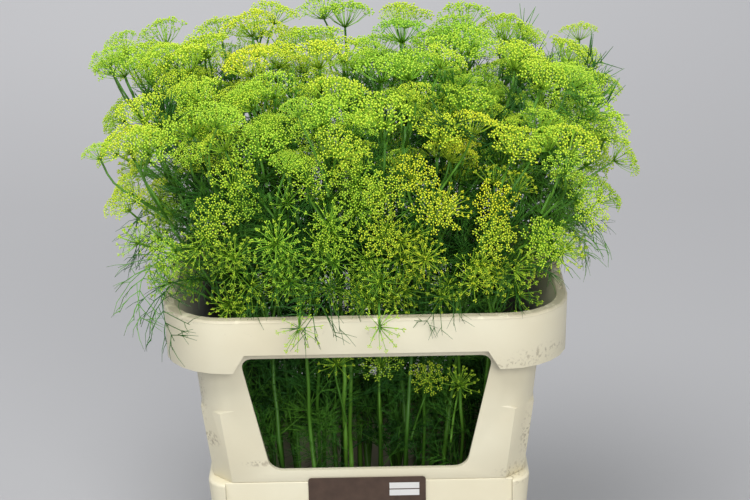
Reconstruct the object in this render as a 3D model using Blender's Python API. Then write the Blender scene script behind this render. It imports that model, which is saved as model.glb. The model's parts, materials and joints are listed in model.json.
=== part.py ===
"""A bunch of flowering dill standing in a flower grower's bucket with a raised, windowed collar.

The origin is the middle of the bucket's foot, +Z is up, and the side with the label faces -Y.
Sizes are in metres. The bucket and the collar are lofted from outlines of their walls. Each dill
stem is one solid: a stalk with the shoots, flower heads and leaves that grew from it.
"""

import math
import random

import bmesh
import bpy
from mathutils import Matrix, Vector

# Bucket and collar
RIM_TOP = 0.386
RIM_HALF = (0.200, 0.150)
RIM_LAND = 0.0123
RIM_CORNER = 0.065
SKIRT_DROP = 0.055
SKIRT_DROP_OVER_WINDOW = 0.036
WALL = 0.003
EDGE = 0.002
COLLAR_FOOT = 0.200
COLLAR_FOOT_HALF = (0.157, 0.120)
COLLAR_NECK_HALF = (0.172, 0.132)
BODY_CORNER = 0.035
CORNER_FLAT = 0.020
FLAT_TOP = 0.279
SPIGOT_DEPTH = 0.018
TUB_FOOT_HALF = (0.143, 0.106)
TUB_PROUD = 0.0055
TUB_CORNER = 0.022
TUB_LEAN = math.atan((COLLAR_FOOT_HALF[1] - TUB_FOOT_HALF[1]) / COLLAR_FOOT)
PANEL_HALF = 0.144
PANEL_FOOT = 0.030
WINDOW_TOP, WINDOW_FOOT = 0.340, 0.213
WINDOW_HALF_TOP, WINDOW_HALF_FOOT = 0.124, 0.098
WINDOW_CORNER = 0.012
WINDOW_ROUND_STEPS = 5
NOTCH_HALF_TOP, NOTCH_HALF_FOOT = 0.118, 0.137
NOTCH_FRONT, NOTCH_BACK = 0.17, 0.142
SLOT_SIZE = (0.0055, 0.0022)
SLOT_DEPTH = 0.01
SLOT_LINE = 0.45
SLOT_HALF_STEP = 0.005
SLOTS_ON_LONG_SIDE = (0.072, 0.134)
SLOTS_ON_SHORT_SIDE = (-0.070, 0, 0.070)
LABEL_SIZE = (0.118, 0.0007, 0.052)
LABEL_TOP = 0.2045
LABEL_SHIFT = -0.002
LABEL_CORNER = 0.003
GAP = 0.0004

# Dill
COLUMNS, ROWS = 8, 6
OVERHANG_COLUMNS = (2, 4)
SEED = 7
STEM_FOOT = WALL + GAP
FOOT_SPREAD = (0.119, 0.083)
RIM_SPREAD = (0.152, 0.104)
TOP_SPREAD = (0.262, 0.164)
CROWN = 0.626
STALK_RADIUS = (0.0027, 0.0013)
SHOOT_RADIUS = 0.0011
STAGGER = 0.16
COLUMN_WANDER, ROW_WANDER = 0.10, 0.12
BENDS_IN_BUCKET = (0.13, 0.26)
FALL_FRONT, FALL_BACK = 0.062, 0.016
FALL_RIGHT, FALL_LEFT = 0.060, 0.018
TOP_BELOW_CROWN, TOP_WANDER = 0.022, 0.014
TOP_HEAD = (0.024, 0.028)
SIDE_HEAD = (0.0185, 0.0215)
INNER_HEAD = (0.0145, 0.0165)
OVERHANG_HEAD = 0.021
OVERHANG_REACH = 0.036
SIDE_LEVELS = (0.034, 0.082, 0.130)
SIDE_REACH, SIDE_BULGE = 0.034, 0.012
SIDE_WANDER = 0.003
SIDE_LIFT = 0.024
SIDE_SHOOT, INNER_SHOOT, OVERHANG_SHOOT = 0.052, 0.05, 0.026
UMBEL_SIDES = 6
UMBEL_DEPTH, UMBEL_DOME = 0.42, 0.2
HUB_RADIUS = 0.0022
LEAF_LENGTH = 0.062
LEAF_HALF_WIDTH, LEAF_TIP = 0.0055, 0.0004
LEAF_THICKNESS = 0.35
LEAF_LEAN = 0.24

UP = Vector((0, 0, 1))
CREAM = (0.78, 0.73, 0.58, 1)
BROWN = (0.13, 0.075, 0.05, 1)
GREEN = (0.16, 0.33, 0.06, 1)


def clear_scene():
    for obj in list(bpy.data.objects):
        bpy.data.objects.remove(obj)


def finish(name, colour, roughness):
    """A plain material for one kind of part."""
    material = bpy.data.materials.new(name)
    material.use_nodes = True
    shader = material.node_tree.nodes["Principled BSDF"]
    shader.inputs["Base Color"].default_value = colour
    shader.inputs["Roughness"].default_value = roughness
    shader.inputs["Metallic"].default_value = 0.0
    return material


def add_object(name, bm, material):
    """A new object that holds what bm holds."""
    mesh = bpy.data.meshes.new(name)
    bm.to_mesh(mesh)
    bm.free()
    mesh.materials.append(material)
    obj = bpy.data.objects.new(name, mesh)
    bpy.context.scene.collection.objects.link(obj)
    return obj


def as_helper(obj):
    """Keeps a cutter, or a shape that is joined into another, out of the model."""
    obj.hide_render = True
    obj.display_type = "WIRE"
    return obj


def boolean(obj, other, operation):
    modifier = obj.modifiers.new(operation.lower(), "BOOLEAN")
    modifier.operation = operation
    modifier.object = other


# Bucket and collar


def outline(half, corner, flat=None, steps=6):
    """Points round a rectangle, whose corners are arcs of radius corner, or flats of leg flat."""
    points = []
    for turn, (sx, sy) in enumerate([(1, 1), (-1, 1), (-1, -1), (1, -1)]):
        for step in range(steps + 1):
            share = step / steps
            if flat is None:
                angle = (turn + share) * math.pi / 2
                x = sx * (half[0] - corner) + corner * math.cos(angle)
                y = sy * (half[1] - corner) + corner * math.sin(angle)
            else:
                along = share if turn % 2 else 1 - share
                x = sx * (half[0] - flat * (1 - along))
                y = sy * (half[1] - flat * along)
            points.append((x, y))
    return points


def loft(rings, shut):
    """A solid skin through rings of (height, points). shut joins the last ring to the first."""
    bm = bmesh.new()
    loops = [[bm.verts.new((x, y, height)) for x, y in points] for height, points in rings]
    if not shut:
        bm.faces.new(loops[0])
        bm.faces.new(loops[-1])
    for lower, upper in zip(loops, loops[1:] + loops[:1] if shut else loops[1:]):
        for here in range(len(lower)):
            bm.faces.new((lower[here - 1], lower[here], upper[here], upper[here - 1]))
    bmesh.ops.recalc_face_normals(bm, faces=bm.faces)
    return bm


def inset(half, by):
    return (half[0] - by, half[1] - by)


def between(low, high, share):
    return tuple(a + (b - a) * share for a, b in zip(low, high))


def collar_half(height):
    """Outer half width and half depth of the collar's body."""
    share = (height - COLLAR_FOOT) / (RIM_TOP - SKIRT_DROP - COLLAR_FOOT)
    return between(COLLAR_FOOT_HALF, COLLAR_NECK_HALF, share)


def tub_half(height):
    """Outer half width and half depth of the bucket."""
    return between(TUB_FOOT_HALF, COLLAR_FOOT_HALF, height / COLLAR_FOOT)


def box_at(low, high):
    bm = bmesh.new()
    bmesh.ops.create_cube(bm, size=1)
    size = Vector(high) - Vector(low)
    bmesh.ops.scale(bm, vec=size, verts=bm.verts)
    bmesh.ops.translate(bm, vec=(Vector(low) + Vector(high)) / 2, verts=bm.verts)
    return bm


def prism(corners, reach, rounding):
    """A shape in the XZ plane, its corners rounded, drawn out along Y."""
    bm = bmesh.new()
    bm.faces.new([bm.verts.new((x, reach[0], z)) for x, z in corners])
    if rounding:
        bmesh.ops.bevel(bm, geom=bm.verts[:], offset=rounding, offset_type="OFFSET",
                        segments=WINDOW_ROUND_STEPS, profile=0.5, affect="VERTICES", material=-1)
    grown = bmesh.ops.extrude_face_region(bm, geom=bm.faces[:])
    moved = [part for part in grown["geom"] if isinstance(part, bmesh.types.BMVert)]
    bmesh.ops.translate(bm, vec=(0, reach[1] - reach[0], 0), verts=moved)
    bmesh.ops.recalc_face_normals(bm, faces=bm.faces)
    return bm


def make_collar(material):
    """A rim with a turned-down skirt, a leaning wall with two windows, and a spigot below."""
    neck = RIM_TOP - SKIRT_DROP
    under = RIM_TOP - WALL
    rim_inside = inset(RIM_HALF, RIM_LAND)
    spigot = COLLAR_FOOT - SPIGOT_DEPTH
    rings = []

    def ring(height, half, corner=BODY_CORNER, flat=None):
        rings.append((height, outline(half, corner, flat)))

    # Down the inside, from the rim to the spigot
    ring(RIM_TOP, inset(rim_inside, -EDGE), RIM_CORNER - RIM_LAND + EDGE)
    ring(RIM_TOP - EDGE, rim_inside, RIM_CORNER - RIM_LAND)
    ring(neck, inset(COLLAR_NECK_HALF, WALL), BODY_CORNER + 0.004)
    ring(FLAT_TOP + WALL, inset(collar_half(FLAT_TOP + WALL), WALL), BODY_CORNER - WALL)
    ring(FLAT_TOP, inset(collar_half(FLAT_TOP), WALL), flat=CORNER_FLAT)
    ring(COLLAR_FOOT, inset(COLLAR_FOOT_HALF, 2 * WALL + GAP), flat=CORNER_FLAT)
    ring(spigot, inset(tub_half(spigot), 2.4 * WALL), flat=CORNER_FLAT)
    # Up the outside, from the spigot to the skirt
    ring(spigot, inset(tub_half(spigot), 1.5 * WALL), flat=CORNER_FLAT)
    ring(COLLAR_FOOT + GAP, inset(COLLAR_FOOT_HALF, WALL + 2 * GAP), flat=CORNER_FLAT)
    ring(COLLAR_FOOT + GAP, COLLAR_FOOT_HALF, flat=CORNER_FLAT)
    ring(FLAT_TOP, collar_half(FLAT_TOP), flat=CORNER_FLAT)
    ring(FLAT_TOP + WALL, collar_half(FLAT_TOP + WALL), BODY_CORNER)
    ring(neck, COLLAR_NECK_HALF, BODY_CORNER + 0.007)
    ring(under - EDGE, inset(rim_inside, -WALL), RIM_CORNER - RIM_LAND + WALL)
    ring(under - EDGE, inset(RIM_HALF, WALL), RIM_CORNER - WALL)
    ring(neck, inset(RIM_HALF, WALL + 0.001), RIM_CORNER - WALL)
    ring(neck, inset(RIM_HALF, 0.001), RIM_CORNER)
    ring(RIM_TOP - EDGE, RIM_HALF, RIM_CORNER)
    ring(RIM_TOP, inset(RIM_HALF, EDGE), RIM_CORNER - EDGE)
    collar = add_object("collar", loft(rings, shut=True), material)

    window = prism([(-WINDOW_HALF_TOP, WINDOW_TOP), (-WINDOW_HALF_FOOT, WINDOW_FOOT),
                    (WINDOW_HALF_FOOT, WINDOW_FOOT), (WINDOW_HALF_TOP, WINDOW_TOP)],
                   (-RIM_HALF[1], RIM_HALF[1]), WINDOW_CORNER)
    boolean(collar, as_helper(add_object("window_cutter", window, material)), "DIFFERENCE")
    for side in (-1, 1):
        low, top = RIM_TOP - SKIRT_DROP - RIM_LAND, RIM_TOP - SKIRT_DROP_OVER_WINDOW
        notch = prism([(-NOTCH_HALF_FOOT, low), (NOTCH_HALF_FOOT, low), (NOTCH_HALF_TOP, top),
                       (-NOTCH_HALF_TOP, top)], (side * NOTCH_BACK, side * NOTCH_FRONT), 0)
        name = "skirt_cutter_front" if side < 0 else "skirt_cutter_back"
        boolean(collar, as_helper(add_object(name, notch, material)), "DIFFERENCE")
    boolean(collar, as_helper(add_object("slot_cutters", slot_cutters(), material)), "DIFFERENCE")
    return collar


def slot_cutters():
    """The pairs of small drain slots through the top of the rim."""
    bm = bmesh.new()
    line = RIM_LAND * SLOT_LINE
    pair = (-SLOT_HALF_STEP, SLOT_HALF_STEP)
    spots = [(side * x + dx, end * (RIM_HALF[1] - line), True)
             for side in (-1, 1) for end in (-1, 1) for x in SLOTS_ON_LONG_SIDE for dx in pair]
    spots += [(side * (RIM_HALF[0] - line), y + dy, False)
              for side in (-1, 1) for y in SLOTS_ON_SHORT_SIDE for dy in pair]
    for x, y, along_x in spots:
        size = SLOT_SIZE if along_x else SLOT_SIZE[::-1]
        scale = Matrix.Diagonal((size[0], size[1], 2 * SLOT_DEPTH, 1))
        bmesh.ops.create_cube(bm, size=1, matrix=Matrix.Translation((x, y, RIM_TOP)) @ scale)
    return bm


def make_bucket(material):
    """An open tub that tapers to its foot, with a shallow panel let into its front and back."""
    top = COLLAR_FOOT
    foot_half = inset(TUB_FOOT_HALF, -TUB_PROUD)
    top_half = inset(COLLAR_FOOT_HALF, -TUB_PROUD)
    rings = [
        (0, outline(inset(foot_half, EDGE), TUB_CORNER - EDGE)),
        (EDGE, outline(foot_half, TUB_CORNER)),
        (top - EDGE, outline(top_half, TUB_CORNER)),
        (top, outline(inset(top_half, EDGE), TUB_CORNER - EDGE)),
        (top, outline(inset(COLLAR_FOOT_HALF, WALL), 0, CORNER_FLAT)),
        (WALL, outline(inset(tub_half(WALL), WALL), 0, CORNER_FLAT)),
    ]
    bucket = add_object("bucket", loft(rings, shut=False), material)
    reach = TUB_FOOT_HALF[1]
    for side in (-1, 1):
        low = (-PANEL_HALF, -reach if side < 0 else 0, PANEL_FOOT - top)
        high = (PANEL_HALF, 0 if side < 0 else reach, reach)
        panel = box_at(low, high)
        bmesh.ops.rotate(panel, matrix=Matrix.Rotation(-side * TUB_LEAN, 3, "X"), verts=panel.verts)
        bmesh.ops.translate(panel, vec=(0, side * (COLLAR_FOOT_HALF[1] + GAP), top), verts=panel.verts)
        name = "panel_cutter_front" if side < 0 else "panel_cutter_back"
        boolean(bucket, as_helper(add_object(name, panel, material)), "DIFFERENCE")
    return bucket


def make_label(material):
    """A plain card on the bucket's front, its top edge over the foot of the collar."""
    width, thick, tall = LABEL_SIZE
    front = -COLLAR_FOOT_HALF[1] - 3 * GAP
    bm = box_at((-width / 2, front - thick, LABEL_TOP - tall), (width / 2, front, LABEL_TOP))
    bmesh.ops.bevel(bm, geom=[e for e in bm.edges if abs(e.verts[0].co.y - e.verts[1].co.y) > thick / 2],
                    offset=LABEL_CORNER, segments=2, profile=0.5, affect="EDGES", material=-1)
    tilt = Matrix.Rotation(TUB_LEAN, 3, "X")
    pivot = Vector((LABEL_SHIFT, front, LABEL_TOP))
    bmesh.ops.translate(bm, vec=(LABEL_SHIFT, 0, 0), verts=bm.verts)
    bmesh.ops.rotate(bm, cent=pivot, matrix=tilt, verts=bm.verts)
    return add_object("label", bm, material)


# Dill


def spread(height):
    """Half width and half depth of the whole bunch at a height: it fans out over the rim."""
    if height < RIM_TOP:
        return between(FOOT_SPREAD, RIM_SPREAD, height / RIM_TOP)
    share = (height - RIM_TOP) / (CROWN - RIM_TOP)
    return between(RIM_SPREAD, TOP_SPREAD, 1.35 * share - 0.35 * share * share)


def place(across, back, height):
    """Where a stalk at across, back (each from -1 to 1) stands at a height."""
    half = spread(height)
    return Vector((across * half[0], back * half[1], height))


def crown_height(across, back):
    """Top of the bunch, which falls away to the front and, most, to the right."""
    fall = (FALL_FRONT if back < 0 else FALL_BACK) * back ** 2
    return CROWN - fall - (FALL_RIGHT if across > 0 else FALL_LEFT) * across ** 4


def plan_stem(column, row, draw):
    """The stalk's line, its leaves, and each shoot as (start height, tip, direction, head radius)."""
    stagger = STAGGER if row % 2 else -STAGGER
    across = (column + 0.5 + stagger + draw.uniform(-COLUMN_WANDER, COLUMN_WANDER)) / COLUMNS * 2 - 1
    back = (row + 0.5 + draw.uniform(-ROW_WANDER, ROW_WANDER)) / ROWS * 2 - 1
    top = crown_height(across, back) - TOP_BELOW_CROWN + draw.uniform(-TOP_WANDER, TOP_WANDER)
    heights = [STEM_FOOT, *BENDS_IN_BUCKET, RIM_TOP - 0.01, RIM_TOP + 0.07, top - 0.06, top - 0.018, top]
    line = [place(across, back, height) for height in heights]
    end = Vector((across * 0.55, back * 0.45, 1)).normalized()
    heads = [(None, line[-1], end, draw.uniform(*TOP_HEAD))]

    out = Vector(((column == COLUMNS - 1) - (column == 0), (row == ROWS - 1) - (row == 0), 0))
    lift = SIDE_LIFT if (column + row) % 2 else 0.0
    if out.length:
        out.normalize()
        for level in SIDE_LEVELS:
            height = RIM_TOP + level + lift + draw.uniform(-SIDE_WANDER, SIDE_WANDER)
            bulge = SIDE_BULGE * math.sin(math.pi * min(1, level / 0.16))
            reach = SIDE_REACH + bulge + draw.uniform(-SIDE_WANDER, SIDE_WANDER)
            if height > top - 0.035:
                continue
            tip = place(across, back, height) + out * reach
            direction = (out + Vector((0, 0, draw.uniform(0.55, 0.9)))).normalized()
            heads.append((height - SIDE_SHOOT, tip, direction, draw.uniform(*SIDE_HEAD)))
    else:
        turn = draw.uniform(0, 2 * math.pi)
        height = top - 0.058 + lift
        side = Vector((math.cos(turn), math.sin(turn), 0))
        tip = place(across, back, height) + side * 0.008
        direction = (end + side * 0.3).normalized()
        heads.append((height - INNER_SHOOT, tip, direction, draw.uniform(*INNER_HEAD)))
    if row == 0 and column in OVERHANG_COLUMNS:
        root = place(across, back, RIM_TOP)
        tip = Vector((root.x, -RIM_HALF[1] - OVERHANG_REACH, RIM_TOP + 0.001))
        heads.append((RIM_TOP - OVERHANG_SHOOT, tip, Vector((0, -0.35, 1)).normalized(), OVERHANG_HEAD))
    leaves = []
    for height in (0.13 + 0.05 * (column % 2), 0.235 + 0.04 * (row % 2)):
        turn = draw.uniform(0, 2 * math.pi)
        side = Vector((math.cos(turn), math.sin(turn), 0))
        leaves.append((place(across, back, height), (side * LEAF_LEAN + UP).normalized()))
    return line, heads, leaves


def tube(points, radii, resolution):
    """A round, tapering tube along points, with closed ends."""
    curve = bpy.data.curves.new("tube", "CURVE")
    curve.dimensions = "3D"
    curve.bevel_depth = 1.0
    curve.bevel_resolution = resolution
    curve.use_fill_caps = True
    spline = curve.splines.new("POLY")
    spline.points.add(len(points) - 1)
    for point, spot, radius in zip(spline.points, points, radii):
        point.co = (*spot, 1)
        point.radius = radius
    obj = bpy.data.objects.new("tube", curve)
    bpy.context.scene.collection.objects.link(obj)
    mesh = bpy.data.meshes.new_from_object(obj.evaluated_get(bpy.context.evaluated_depsgraph_get()))
    bpy.data.objects.remove(obj)
    bm = bmesh.new()
    bm.from_mesh(mesh)
    bpy.data.meshes.remove(mesh)
    bmesh.ops.remove_doubles(bm, verts=bm.verts, dist=1e-6)
    bmesh.ops.recalc_face_normals(bm, faces=bm.faces)
    return bm


def head_solid(hub, direction, radius):
    """The outer shape of a flower head: a shallow funnel of rays under a low dome."""
    depth = UMBEL_DEPTH * radius
    bm = bmesh.new()
    bmesh.ops.create_cone(bm, cap_ends=True, segments=UMBEL_SIDES, radius1=HUB_RADIUS,
                          radius2=radius, depth=depth)
    bmesh.ops.translate(bm, vec=(0, 0, depth / 2 - 0.0006), verts=bm.verts)
    top = max(bm.faces, key=lambda face: face.calc_center_median().z)
    middle = bmesh.ops.poke(bm, faces=[top])["verts"]
    bmesh.ops.translate(bm, vec=(0, 0, UMBEL_DOME * radius), verts=middle)
    turn = direction.to_track_quat("Z", "Y").to_matrix().to_4x4()
    bmesh.ops.transform(bm, matrix=Matrix.Translation(hub) @ turn, verts=bm.verts)
    return bm


def leaf_solid(root, direction):
    """The outer shape of a thread leaf: a long flat spindle."""
    bm = bmesh.new()
    bmesh.ops.create_cone(bm, cap_ends=True, segments=4, radius1=LEAF_HALF_WIDTH, radius2=LEAF_TIP,
                          depth=LEAF_LENGTH * 0.6)
    bmesh.ops.translate(bm, vec=(0, 0, LEAF_LENGTH * 0.7), verts=bm.verts)
    foot = min(bm.faces, key=lambda face: face.calc_center_median().z)
    middle = bmesh.ops.poke(bm, faces=[foot])["verts"]
    bmesh.ops.translate(bm, vec=(0, 0, -LEAF_LENGTH * 0.4), verts=middle)
    bmesh.ops.scale(bm, vec=(1, LEAF_THICKNESS, 1), verts=bm.verts)
    turn = direction.to_track_quat("Z", "Y").to_matrix().to_4x4()
    bmesh.ops.transform(bm, matrix=Matrix.Translation(root) @ turn, verts=bm.verts)
    return bm


def shoot_line(root, tip, direction):
    """A side shoot's line: out of the stalk, and round to the way that its head faces."""
    end = tip + direction * 0.001
    if tip.y < -RIM_HALF[1] - OVERHANG_REACH / 2:
        over = Vector((root.x, -RIM_HALF[1] + RIM_LAND / 2, RIM_TOP + 0.014))
        return [root, root.lerp(over, 0.5) + UP * 0.008, over, over.lerp(tip, 0.6), end]
    bend = tip - direction * (tip - root).length * 0.45
    return [root, root.lerp(bend, 0.5) + UP * 0.004, bend.lerp(tip, 0.35), end]


def make_stem(number, column, row, draw, material):
    line, heads, leaves = plan_stem(column, row, draw)
    name = f"dill_stem_{number:02d}"
    share = [(p.z - line[0].z) / (line[-1].z - line[0].z) for p in line]
    radii = [STALK_RADIUS[0] + (STALK_RADIUS[1] - STALK_RADIUS[0]) * s for s in share]
    stem = add_object(name, tube(line, radii, 1), material)

    def line_at(height):
        """The stalk's own line, which runs straight between its points."""
        for low, high in zip(line, line[1:]):
            if low.z <= height <= high.z:
                return low.lerp(high, (height - low.z) / (high.z - low.z))
        return line[-1].copy()

    grown = bpy.data.collections.new(name + "_shoots")
    bpy.context.scene.collection.children.link(grown)
    grown.hide_render = True

    def grow(bm):
        obj = as_helper(add_object(name + "_part", bm, material))
        bpy.context.scene.collection.objects.unlink(obj)
        grown.objects.link(obj)

    for start, tip, direction, radius in heads:
        if start is not None:
            shoot = shoot_line(line_at(start), tip, direction)
            grow(tube(shoot, [SHOOT_RADIUS * 1.2] + [SHOOT_RADIUS] * (len(shoot) - 1), 0))
        grow(head_solid(tip, direction, radius))
    for root, direction in leaves:
        grow(leaf_solid(root, direction))
    union = stem.modifiers.new("grown together", "BOOLEAN")
    union.operation = "UNION"
    union.operand_type = "COLLECTION"
    union.collection = grown
    return stem


def main():
    clear_scene()
    plastic = finish("cream_plastic", CREAM, 0.45)
    card = finish("label_card", BROWN, 0.6)
    plant = finish("dill_green", GREEN, 0.55)
    make_bucket(plastic)
    make_collar(plastic)
    make_label(card)
    draw = random.Random(SEED)
    number = 0
    for row in range(ROWS):
        for column in range(COLUMNS):
            number += 1
            make_stem(number, column, row, draw, plant)


main()
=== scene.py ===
import json
import math
import random

import bmesh
import bpy
from mathutils import Matrix, Vector

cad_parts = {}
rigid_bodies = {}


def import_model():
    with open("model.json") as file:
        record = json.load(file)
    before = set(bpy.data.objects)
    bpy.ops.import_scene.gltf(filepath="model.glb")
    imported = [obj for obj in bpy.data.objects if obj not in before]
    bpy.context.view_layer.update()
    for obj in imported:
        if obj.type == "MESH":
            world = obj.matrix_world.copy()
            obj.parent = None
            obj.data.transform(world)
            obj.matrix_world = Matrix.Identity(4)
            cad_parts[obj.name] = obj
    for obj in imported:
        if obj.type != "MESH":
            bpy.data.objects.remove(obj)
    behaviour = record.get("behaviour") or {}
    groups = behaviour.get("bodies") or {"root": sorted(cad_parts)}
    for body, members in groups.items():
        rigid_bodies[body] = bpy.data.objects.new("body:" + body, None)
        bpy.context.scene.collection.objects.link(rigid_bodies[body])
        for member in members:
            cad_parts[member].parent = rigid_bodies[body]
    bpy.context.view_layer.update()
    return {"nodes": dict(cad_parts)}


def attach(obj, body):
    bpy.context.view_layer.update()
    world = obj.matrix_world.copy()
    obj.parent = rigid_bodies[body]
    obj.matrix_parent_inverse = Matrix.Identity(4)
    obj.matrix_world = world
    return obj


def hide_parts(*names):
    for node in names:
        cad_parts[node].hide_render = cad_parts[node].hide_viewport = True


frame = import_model()

up = Vector((0, 0, 1))


bunch = {  # the plan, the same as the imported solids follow
    "columns": 8, "rows": 6, "seed": 7,
    "stemFoot": 0.0034, "rimTop": 0.386, "crown": 0.626,
    "footSpread": (0.119, 0.083), "rimSpread": (0.152, 0.104), "topSpread": (0.262, 0.164),
    "fanOut": 1.35, "fanIn": 0.35,
    "fallFront": 0.062, "fallBack": 0.016, "fallRight": 0.060, "fallLeft": 0.018,
    "stagger": 0.16, "columnJitter": 0.10, "rowJitter": 0.12, "topDrop": 0.022, "topJitter": 0.014,
    "topHead": (0.024, 0.028), "sideHead": (0.0185, 0.0215), "innerHead": (0.0145, 0.0165),
    "sideLevels": (0.034, 0.082, 0.130), "alternateLift": 0.024, "leastDrop": 0.035,
    "sideReach": 0.034, "sideBulge": 0.012, "sideJitter": 0.003, "sideRise": (0.55, 0.9),
    "sideShoot": 0.052, "innerShoot": 0.05, "innerDrop": 0.058, "innerReach": 0.008,
    "overhangColumns": (2, 4), "overhangReach": 0.036, "overhangShoot": 0.026, "overhangHead": 0.021,
    "stalkRadius": (0.0027, 0.0013), "shootRadius": 0.0011,
    "rimHalf": (0.200, 0.150), "rimLand": 0.0123,
}
wholeTurn = 2 * math.pi
golden = math.pi * (3 - math.sqrt(5))


def between(low, high, share):
    return tuple(a + (b - a) * share for a, b in zip(low, high))


def spread(height):
    rim = bunch["rimTop"]
    if height < rim:
        return between(bunch["footSpread"], bunch["rimSpread"], height / rim)
    share = (height - rim) / (bunch["crown"] - rim)
    widened = bunch["fanOut"] * share - bunch["fanIn"] * share * share
    return between(bunch["rimSpread"], bunch["topSpread"], widened)


def place(across, back, height):
    half = spread(height)
    return Vector((across * half[0], back * half[1], height))


def crownHeight(across, back):
    fall = bunch["fallFront" if back < 0 else "fallBack"] * back ** 2
    return bunch["crown"] - fall - bunch["fallRight" if across > 0 else "fallLeft"] * across ** 4


def jitter(draw, most):
    return draw.uniform(-most, most)


def anySide(draw):
    turn = draw.uniform(0, wholeTurn)
    return Vector((math.cos(turn), math.sin(turn), 0))


def planStem(column, row, draw):
    columns, rows, rim = bunch["columns"], bunch["rows"], bunch["rimTop"]
    stagger = bunch["stagger"] if row % 2 else -bunch["stagger"]
    across = (column + 0.5 + stagger + jitter(draw, bunch["columnJitter"])) / columns * 2 - 1
    back = (row + 0.5 + jitter(draw, bunch["rowJitter"])) / rows * 2 - 1
    top = crownHeight(across, back) - bunch["topDrop"] + jitter(draw, bunch["topJitter"])
    heights = [bunch["stemFoot"], 0.13, 0.26, rim - 0.01, rim + 0.07, top - 0.06, top - 0.018, top]
    line = [place(across, back, height) for height in heights]
    end = Vector((across * 0.55, back * 0.45, 1)).normalized()
    heads = [(None, line[-1], end, draw.uniform(*bunch["topHead"]))]
    out = Vector(((column == columns - 1) - (column == 0), (row == rows - 1) - (row == 0), 0))
    lift = bunch["alternateLift"] if (column + row) % 2 else 0.0
    if out.length:
        out.normalize()
        for level in bunch["sideLevels"]:
            height = rim + level + lift + jitter(draw, bunch["sideJitter"])
            bulge = bunch["sideBulge"] * math.sin(math.pi * min(1, level / 0.16))
            reach = bunch["sideReach"] + bulge + jitter(draw, bunch["sideJitter"])
            if height > top - bunch["leastDrop"]:
                continue
            tip = place(across, back, height) + out * reach
            direction = (out + Vector((0, 0, draw.uniform(*bunch["sideRise"])))).normalized()
            heads.append((height - bunch["sideShoot"], tip, direction, draw.uniform(*bunch["sideHead"])))
    else:
        side = anySide(draw)
        height = top - bunch["innerDrop"] + lift
        tip = place(across, back, height) + side * bunch["innerReach"]
        direction = (end + side * 0.3).normalized()
        heads.append((height - bunch["innerShoot"], tip, direction, draw.uniform(*bunch["innerHead"])))
    if row == 0 and column in bunch["overhangColumns"]:
        root = place(across, back, rim)
        tip = Vector((root.x, -bunch["rimHalf"][1] - bunch["overhangReach"], rim + 0.001))
        direction = Vector((0, -0.35, 1)).normalized()
        heads.append((rim - bunch["overhangShoot"], tip, direction, bunch["overhangHead"]))
    for _ in range(2):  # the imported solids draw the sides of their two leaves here
        anySide(draw)
    return across, back, out, line, heads


pedicelRadius = 0.0003
tissue = {"stalk": 0, "ray": 1, "flower": 2, "thread": 3}  # material slots on every stem


def newMesh(name, bm):
    mesh = bpy.data.meshes.new(name)
    bm.to_mesh(mesh)
    bm.free()
    return mesh


def sweep(points, radii, sides, kind):
    bm = bmesh.new()
    heading = (points[1] - points[0]).normalized()
    turn = heading.to_track_quat("Z", "Y")
    start = Matrix.Translation(points[0]) @ turn.to_matrix().to_4x4()
    ring = bmesh.ops.create_circle(bm, cap_ends=True, segments=sides, radius=radii[0], matrix=start)
    face = ring["verts"][0].link_faces[0]
    for here in range(1, len(points)):
        after = points[min(here + 1, len(points) - 1)]
        newHeading = (after - points[here - 1]).normalized()
        newTurn = heading.rotation_difference(newHeading) @ turn
        heading = newHeading
        grown = bmesh.ops.extrude_face_region(bm, geom=[face])["geom"]
        face = next(part for part in grown if isinstance(part, bmesh.types.BMFace))
        verts = list(face.verts)
        shift = Matrix.Translation(points[here]) @ newTurn.to_matrix().to_4x4()
        shift = shift @ Matrix.Scale(radii[here] / radii[here - 1], 4) @ turn.to_matrix().to_4x4().inverted()
        bmesh.ops.transform(bm, verts=verts, matrix=shift @ Matrix.Translation(-points[here - 1]))
        turn = newTurn
    bmesh.ops.recalc_face_normals(bm, faces=bm.faces)
    for face in bm.faces:
        face.material_index = tissue[kind]
        face.smooth = True
    return newMesh("strand", bm)


def addMesh(bm, mesh, matrix=None, tint=None):
    copy = mesh.copy()
    if matrix is not None:
        copy.transform(matrix)
    if tint is not None:
        layer = copy.attributes.get("tint") or copy.attributes.new("tint", "FLOAT", "POINT")
        layer.data.foreach_set("value", [tint] * len(copy.vertices))
    bm.from_mesh(copy)
    bpy.data.meshes.remove(copy)


def addStrand(bm, points, radii, sides, kind, tint=None):
    strand = sweep(points, radii, sides, kind)
    addMesh(bm, strand, None, tint)
    bpy.data.meshes.remove(strand)


def aim(spot, direction, scale=1.0, spin=0.0):
    turn = direction.to_track_quat("Z", "Y").to_matrix().to_4x4()
    return Matrix.Translation(spot) @ turn @ Matrix.Rotation(spin, 4, "Z") @ Matrix.Scale(scale, 4)


def makeFloret(length, knob, stretch):
    bm = bmesh.new()
    bmesh.ops.create_cone(bm, cap_ends=True, segments=3, radius1=pedicelRadius, radius2=0.0,
                          depth=length, matrix=Matrix.Translation((0, 0, length / 2)))
    for face in bm.faces:
        face.material_index = tissue["ray"]
    ball = Matrix.Translation((0, 0, length)) @ Matrix.Diagonal((1, 1, stretch, 1))
    drawn = bmesh.ops.create_uvsphere(bm, u_segments=4, v_segments=2, radius=knob, matrix=ball)
    for face in {face for vert in drawn["verts"] for face in vert.link_faces}:
        face.material_index = tissue["flower"]
        face.smooth = True
    return newMesh("floret", bm)


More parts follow.
